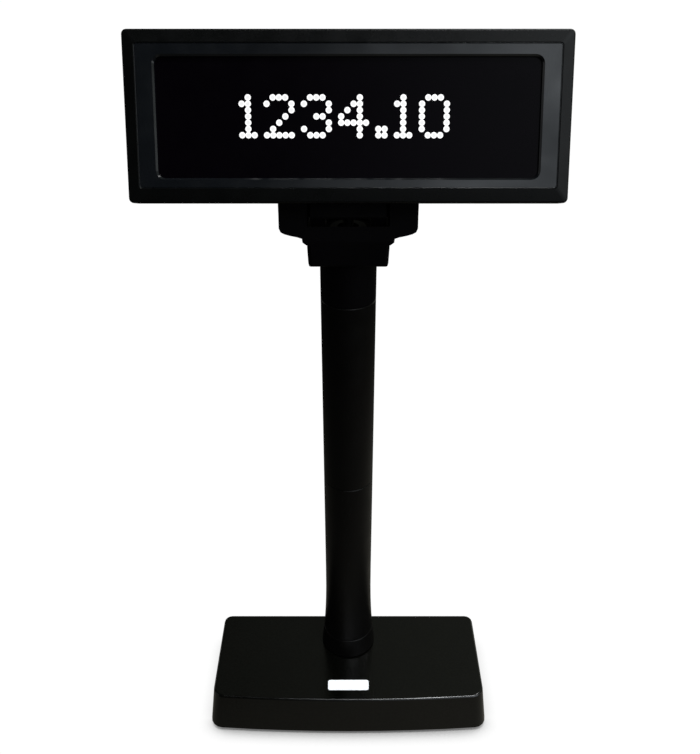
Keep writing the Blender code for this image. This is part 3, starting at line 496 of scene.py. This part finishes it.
def make_digits():
    """The lit figures: one thin domed disc for each dot, just proud of the window."""
    bm = bmesh.new()
    tilt = Matrix.Rotation(math.radians(90) - REST_TILT, 3, "X")
    turns = round_turns(DOT_SIDES)
    for x, y in lit_dots(PRICE):
        middle = on_face(WINDOW_MIDDLE[0] + x, WINDOW_MIDDLE[1] + y, LENS_DEPTH)
        rings = []
        for share, height in DOT_DOME:
            radius = share * DOT_RADIUS
            corners = (Vector((radius * math.cos(a), radius * math.sin(a), height)) for a in turns)
            rings.append([bm.verts.new(middle + tilt @ corner) for corner in corners])
        bridge(bm, rings)
        core = bm.faces.new(rings[-1])
        core.material_index = 1
        bm.faces.new(rings[0][::-1])
    digits = new_piece("lit_digits", bm, glowing("lit_dot_rim", 1.0), glowing("lit_dot_core", 0.74))
    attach(digits, "head")


# ---------------------------------------------------------------- seam bead

SEAM = 0.0003  # the gap round the glossy frame
BEAD_RADIUS = 0.00014
BEAD_SIDES = 8
BEAD_BEHIND = 0.00042  # from the face back to the bead's middle
BEAD_CORNER = 0.0013
CORNER_STEPS = 6


def bead_path():
    """Points round the seam, across and up the face from the tilt axis, with the way out at each."""
    stand = Matrix.Rotation(REST_TILT, 3, "X")
    points = [stand @ (vertex.co - TILT_AXIS) for vertex in nodes["window_frame"].data.vertices]
    left, right = (edge(point.x for point in points) for edge in (min, max))
    low, high = (edge(point.z for point in points) for edge in (min, max))
    reach = BEAD_CORNER - SEAM / 2
    path = []
    for number, (x, z) in enumerate(((right, high), (left, high), (left, low), (right, low))):
        side, level = (1 if x == right else -1), (1 if z == high else -1)
        for step in range(CORNER_STEPS + 1):
            turn = math.radians(90 * (number + step / CORNER_STEPS))
            out = Vector((math.cos(turn), math.sin(turn)))
            path.append((Vector((x - side * reach, z - level * reach)) + BEAD_CORNER * out, out))
    return path


def make_bead(look):
    """A thin round bead that fills the seam between the bezel and the glossy frame."""
    bm = bmesh.new()
    rings = []
    for point, out in bead_path():
        ring = []
        for turn in round_turns(BEAD_SIDES):
            across, height = point + BEAD_RADIUS * math.cos(turn) * out
            ring.append(bm.verts.new(on_face(across, height, BEAD_BEHIND + BEAD_RADIUS * math.sin(turn))))
        rings.append(ring)
    bridge(bm, rings + rings[:1], smooth=True)
    bmesh.ops.recalc_face_normals(bm, faces=bm.faces)
    bead = new_piece("seam_bead", bm, look)
    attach(bead, "head")


# ---------------------------------------------------------------- cable sleeve

SLEEVE_RADIUS = 0.0034
SLEEVE_RIB = 0.0003  # how far each rib stands out
SLEEVE_LAP = 0.0014  # how far the sleeve covers the cable at each end
SLEEVE_STEPS = 12
SLEEVE_SIDES = 24


def make_sleeve(look):
    """A ribbed soft sleeve over the cable, curved round the tilt hinge as it stands at the rest tilt."""
    up = Vector((0, 0, 1))
    lean = Matrix.Rotation(-REST_TILT, 3, "X") @ up
    reach = TILT_AXIS.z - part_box("harness_yoke")[1].z
    start, end = TILT_AXIS - reach * up, TILT_AXIS + reach * lean
    path = [(start - SLEEVE_LAP * up, up)]
    for step in range(SLEEVE_STEPS + 1):
        t = step / SLEEVE_STEPS
        place = (1 - t) ** 2 * start + 2 * t * (1 - t) * TILT_AXIS + t ** 2 * end
        path.append((place, ((1 - t) * up + t * lean).normalized()))
    path.append((end + SLEEVE_LAP * lean, lean))
    across = Vector((1, 0, 0))
    bm = bmesh.new()
    rings = []
    for number, (place, along) in enumerate(path):
        radius = SLEEVE_RADIUS + SLEEVE_RIB * (number % 2)
        forward = along.cross(across)
        rings.append([
            bm.verts.new(place + radius * (math.cos(turn) * across + math.sin(turn) * forward))
            for turn in round_turns(SLEEVE_SIDES)
        ])
    bridge(bm, rings, smooth=True)
    bm.faces.new(rings[0])
    bm.faces.new(rings[-1])
    bmesh.ops.recalc_face_normals(bm, faces=bm.faces)
    sleeve = new_piece("cable_sleeve", bm, look)
    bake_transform(sleeve)


# ---------------------------------------------------------------- socket contacts

CONTACT_COUNT = 8
CONTACT_PITCH = 0.00102
CONTACT_WIDTH = 0.00045
CONTACT_THICK = 0.0002
CONTACT_FRONT = (0.0035, 0.0002)  # in from the mouth's edge and down from its roof
CONTACT_BACK = (0.0050, 0.0030)  # in from the socket's inner end and down from the roof
MOUTH_ROOF = 0.0025  # from the socket's top down to the roof of its mouth


def make_contacts(look):
    """Gilt spring contacts that slant down from the roof of the data socket's mouth."""
    low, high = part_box("data_socket")
    roof = high.z - MOUTH_ROOF
    line = (
        (high.y - CONTACT_FRONT[0], roof - CONTACT_FRONT[1]),
        (low.y + CONTACT_BACK[0], roof - CONTACT_BACK[1]),
    )
    outline = ((-1, 0), (1, 0), (1, CONTACT_THICK), (-1, CONTACT_THICK))
    bm = bmesh.new()
    for i in range(CONTACT_COUNT):
        middle = (low.x + high.x) / 2 + (i - (CONTACT_COUNT - 1) / 2) * CONTACT_PITCH
        corners = [
            bm.verts.new((middle + side * CONTACT_WIDTH / 2, y, z + lift))
            for y, z in line for side, lift in outline
        ]
        near, far = corners[:4], corners[4:]
        bm.faces.new(near)
        bm.faces.new(far[::-1])
        for j in range(4):
            k = (j + 1) % 4
            bm.faces.new((near[j], far[j], far[k], near[k]))
    bmesh.ops.recalc_face_normals(bm, faces=bm.faces)
    contacts = new_piece("socket_contacts", bm, look)
    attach(contacts, "base")


# ---------------------------------------------------------------- the whole scene


def main():
    """Camera, studio, finishes and details."""
    bpy.context.scene.view_settings.view_transform = "Standard"
    make_camera()
    make_world()
    make_floor()
    make_lights()
    looks = make_materials()
    finish_cad(looks)
    make_digits()
    make_bead(looks["gloss"])
    make_sleeve(looks["cable"])
    make_contacts(looks["brass"])


main()
